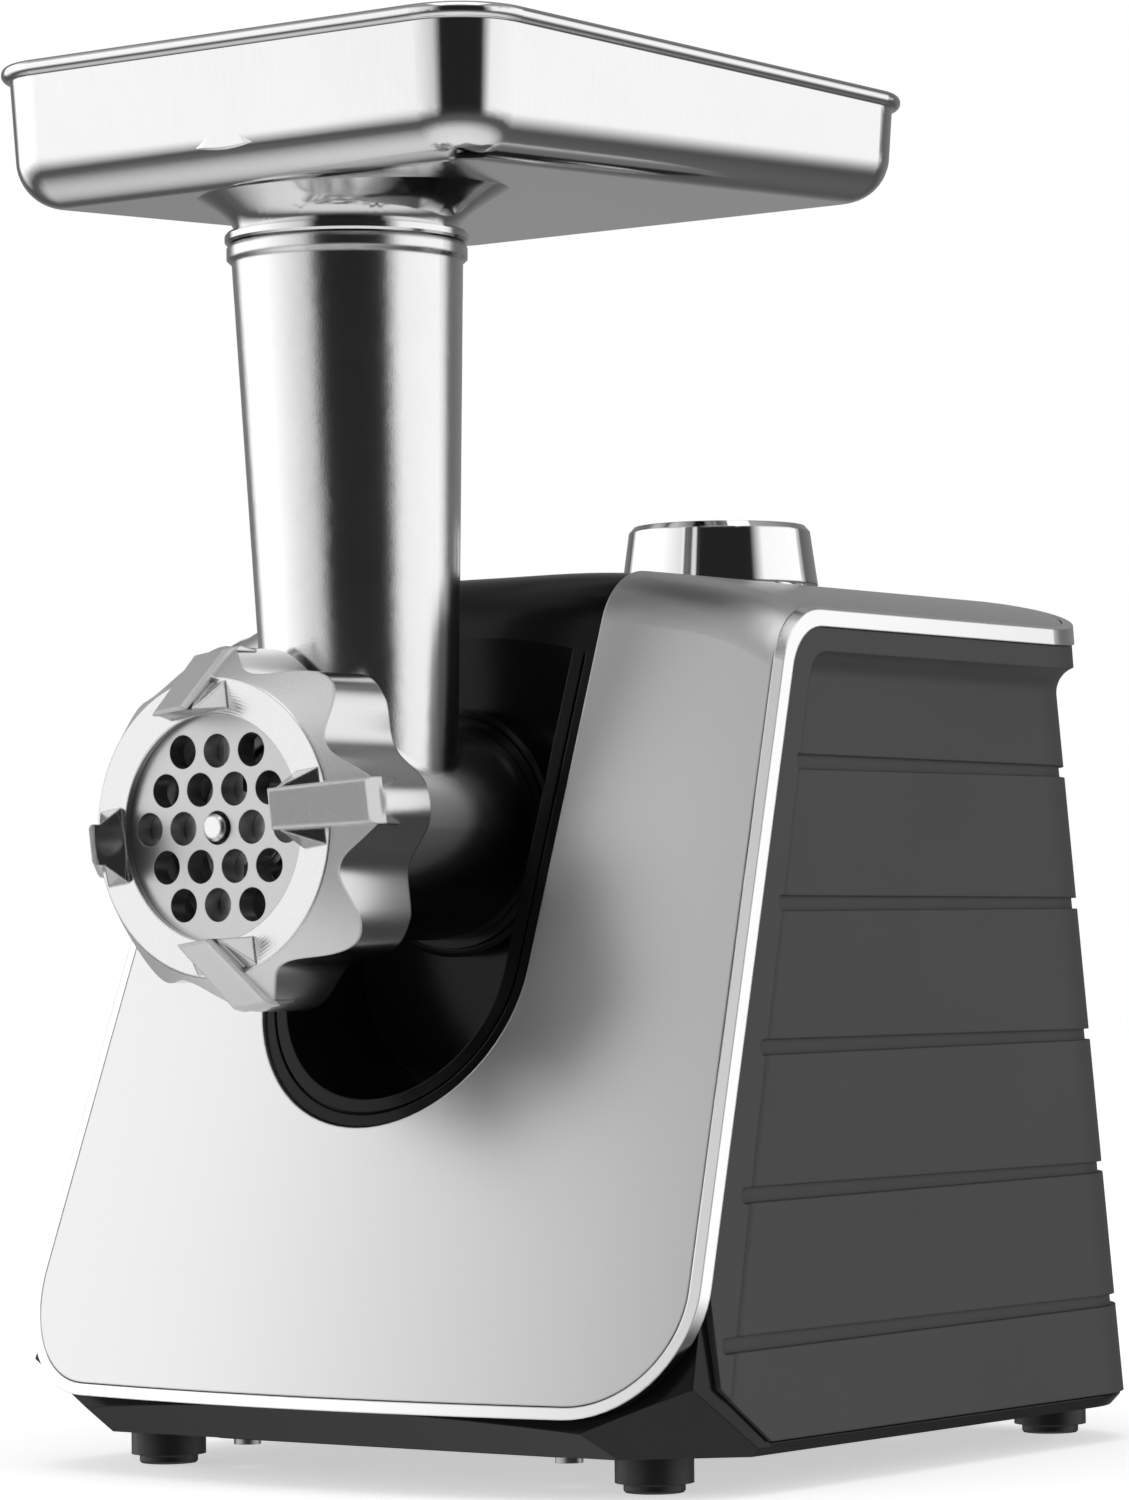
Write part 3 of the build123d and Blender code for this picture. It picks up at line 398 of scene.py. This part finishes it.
def makeCastMetal(settings):
    finish = Finish("castMetal", Metallic=1.0)
    grain = finish.noise(settings["grainScale"], 4.0, 0.6)
    blotch = finish.noise(settings["blotchScale"], 4.0)
    pits = finish.cells(settings["pitScale"]).between(0.0, settings["pitSize"])
    edges = finish.rounded(settings["edge"])
    height = grain * 0.85 + pits * 0.15
    finish.feed(Base_Color=finish.grey(grain * 0.6 + blotch * 0.4, settings["dark"], settings["light"]),
                Roughness=settings["roughness"] + 0.09 * grain + 0.04 * blotch,
                Normal=finish.bump(height, settings["strength"], settings["relief"], edges))
    return finish


nutMetal = {
    "dark": 0.60,
    "light": 0.72,
    "roughness": 0.13,
    "castRoughness": 0.22,
    "castDullness": 0.4,
    "faceAhead": 0.0021,    # how far the turned face stands in front of the plate
    "faceSlack": (0.0003, 0.0004),
    "faceRadii": (0.0265, 0.0362),
    "coneRadius": 0.036,
    "coneStart": 0.0006,
    "coneSlope": 0.74,
    "coneSlack": 0.0005,
    "boreRadius": 0.0268,
    "toolMarks": 9000.0,    # radians of their wave in a metre
    "grainScale": 1500.0,
    "strength": 0.5,
    "relief": 0.00016,
    "edge": 0.0007,
}


def makeNutMetal(settings):
    finish = Finish("nutMetal")
    x = finish.axis(finish.place, "X")
    y = finish.axis(finish.place, "Y")
    z = finish.axis(finish.place, "Z") - middle("cutting_plate").z
    away = (x * x + z * z).root()
    ringFace = span("cutting_plate")[0].y - settings["faceAhead"]
    behind, before = settings["faceSlack"]
    inner, outer = settings["faceRadii"]
    face = (y < ringFace + behind) * (y > ringFace - before) * (away > inner) * (away < outer)
    # the cone in front of the lobes and the lugs are left as cast, the lobes are polished
    cone = settings["coneRadius"] + (y - ringFace - settings["coneStart"]) * settings["coneSlope"]
    cast = (away > cone - settings["coneSlack"]) * (1 - face) * (away > settings["boreRadius"])
    turning = (away * settings["toolMarks"]).sine() * 0.5 + 0.5
    grain = finish.noise(settings["grainScale"], 4.0, 0.65)
    sheen = settings["roughness"] + settings["castRoughness"] * cast
    height = grain * cast + turning * face * 0.1
    edges = finish.rounded(settings["edge"])
    finish.feed(Base_Color=finish.grey(grain * 0.7 + face * 0.3, settings["dark"], settings["light"]),
                Metallic=1 - settings["castDullness"] * cast,
                Roughness=sheen + 0.1 * grain + 0.06 * turning * face,
                Normal=finish.bump(height, settings["strength"], settings["relief"], edges))
    return finish


plateSteel = {
    "dark": 0.48,
    "light": 0.64,
    "roughness": 0.3,
    "brushing": (260, 400, 2600),
    "patchScale": 40.0,
    "strength": 0.12,
    "relief": 0.00006,
    "edge": 0.0003,
}


def makePlateSteel(settings):
    finish = Finish("plateSteel", Metallic=1.0)
    brushed = finish.noise(1.0, 5.0, 0.6, finish.stretched(settings["brushing"]))
    patches = finish.noise(settings["patchScale"], 3.0)
    edges = finish.rounded(settings["edge"])
    finish.feed(Base_Color=finish.grey(brushed * 0.6 + patches * 0.4, settings["dark"], settings["light"]),
                Roughness=settings["roughness"] + 0.14 * brushed,
                Normal=finish.bump(brushed, settings["strength"], settings["relief"], edges))
    return finish


traySteel = {
    "dark": 0.66,
    "light": 0.76,
    "roughness": 0.07,
    "drawing": (900, 900, 60),
    "smearScale": 22.0,
    "strength": 0.05,
    "relief": 0.0003,
}


def makeTraySteel(settings):
    finish = Finish("traySteel", Metallic=1.0)
    drawn = finish.noise(1.0, 4.0, 0.6, finish.stretched(settings["drawing"]))
    smear = finish.noise(settings["smearScale"], 4.0)
    finish.feed(Base_Color=finish.grey(drawn * 0.4 + smear * 0.6, settings["dark"], settings["light"]),
                Roughness=settings["roughness"] + 0.05 * smear + 0.03 * drawn,
                Normal=finish.bump(drawn * 0.3 + smear, settings["strength"], settings["relief"]))
    return finish


knobChrome = {"dark": 0.752, "light": 0.8, "roughness": 0.035, "smearScale": 60.0, "edge": 0.0006}


def makeKnobChrome(settings):
    finish = Finish("knobChrome", Metallic=1.0)
    smear = finish.noise(settings["smearScale"], 4.0)
    finish.feed(Base_Color=finish.grey(smear, settings["dark"], settings["light"]),
                Roughness=settings["roughness"] + 0.05 * smear, Normal=finish.rounded(settings["edge"]))
    return finish


footRubber = {
    "dark": 0.0084,
    "light": 0.012,
    "roughness": 0.36,
    "grainScale": 700.0,
    "strength": 0.2,
    "relief": 0.0001,
    "edge": 0.0004,
}


def makeFootRubber(settings):
    finish = Finish("footRubber")
    grain = finish.noise(settings["grainScale"], 4.0)
    edges = finish.rounded(settings["edge"])
    finish.feed(Base_Color=finish.grey(grain, settings["dark"], settings["light"]),
                Roughness=settings["roughness"] + 0.2 * grain,
                Normal=finish.bump(grain, settings["strength"], settings["relief"], edges))
    return finish


hiddenParts = {
    "caseResin": {"shade": 0.05, "tint": (1, 1, 1.04), "roughness": 0.5, "metal": 0.0, "grain": 900.0},
    "nylon": {"shade": 0.62, "tint": (1, 0.97, 0.86), "roughness": 0.42, "metal": 0.0, "grain": 300.0},
    "gearSteel": {"shade": 0.42, "tint": (1, 1, 1.03), "roughness": 0.28, "metal": 1.0, "grain": 1400.0},
    "bronze": {"shade": 0.5, "tint": (1, 0.72, 0.4), "roughness": 0.38, "metal": 1.0, "grain": 1800.0},
    "zinc": {"shade": 0.55, "tint": (1, 1, 1.04), "roughness": 0.34, "metal": 1.0, "grain": 800.0},
    "lamination": {"shade": 0.13, "tint": (1, 1.02, 1.1), "roughness": 0.45, "metal": 0.7, "grain": 2400.0},
    "enamelWire": {"shade": 0.5, "tint": (1, 0.42, 0.2), "roughness": 0.3, "metal": 0.8, "grain": 2200.0},
    "carbon": {"shade": 0.02, "tint": (1, 1, 1), "roughness": 0.6, "metal": 0.0, "grain": 1500.0},
    "boardGreen": {"shade": 0.14, "tint": (0.25, 1, 0.45), "roughness": 0.4, "metal": 0.0, "grain": 500.0},
    "capFilm": {"shade": 0.4, "tint": (1, 0.62, 0.2), "roughness": 0.35, "metal": 0.0, "grain": 400.0},
    "springWire": {"shade": 0.5, "tint": (1, 1, 1.02), "roughness": 0.22, "metal": 1.0, "grain": 2000.0},
}
# what all the hidden parts share; dark and light are times their shade
hiddenSurface = {
    "dark": 0.8,
    "light": 1.1,
    "cloudScale": 45.0,
    "strength": 0.12,
    "relief": 0.0001,
    "edge": 0.0003,
}


def makeHiddenPart(name, settings, surface):
    finish = Finish(name, Metallic=settings["metal"])
    grain = finish.noise(settings["grain"], 4.0)
    cloud = finish.noise(surface["cloudScale"], 3.0)
    edges = finish.rounded(surface["edge"])
    dark, light = (settings["shade"] * surface[end] for end in ("dark", "light"))
    finish.feed(Base_Color=finish.grey(grain * 0.5 + cloud * 0.5, dark, light, settings["tint"]),
                Roughness=settings["roughness"] + 0.12 * grain,
                Normal=finish.bump(grain, surface["strength"], surface["relief"], edges))
    return finish


wear("front_panel", finish=makeSilverPaint(silverPaint))
wear("trim_frame", finish=makeBrightTrim(brightTrim))
wear("side_cover_left", "side_cover_right", "rear_cover", "cord_gland",
     finish=makeCoverPlastic(coverPlastic))
wear("recess_liner", "control_strip", "base_tray", "bottom_plate", "socket_collar", "release_button",
     finish=makeBlackGloss(blackGloss))
wear("head_body", "auger", finish=makeCastMetal(castMetal))
wear("ring_nut", finish=makeNutMetal(nutMetal))
wear("cutting_plate", "knife", finish=makePlateSteel(plateSteel))
wear("tray", finish=makeTraySteel(traySteel))
wear("knob_cap", finish=makeKnobChrome(knobChrome))
wear("feet", finish=makeFootRubber(footRubber))

hiddenWearers = {
    "caseResin": ["switch_spindle", "rotary_switch", "switch_bracket", "button_guide", "gear_case",
                  "gear_cover", "fan", "front_bracket", "brush_holders", "motor_cradle", "case_foot",
                  "board_posts"],
    "nylon": ["thrust_washer", "rear_bush", "middle_gear", "first_gear", "terminal_block"],
    "gearSteel": ["output_gear", "output_pinion", "middle_pinion", "motor_pinion", "output_shaft",
                  "middle_shaft", "first_shaft", "motor_shaft"],
    "bronze": ["bushes", "motor_bearings"],
    "zinc": ["bottom_screws", "case_screws", "rear_bracket"],
    "lamination": ["rotor_core", "stator_core"],
    "enamelWire": ["rotor_windings", "field_coils", "commutator"],
    "carbon": ["brushes"],
    "boardGreen": ["control_board"],
    "capFilm": ["board_parts"],
    "springWire": ["button_spring"],
}
for name, nodes in hiddenWearers.items():
    wear(*nodes, finish=makeHiddenPart(name, hiddenParts[name], hiddenSurface))
print("finishes on", sum(len(item.data.materials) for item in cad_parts.values()), "slots")

bpy.context.view_layer.update()
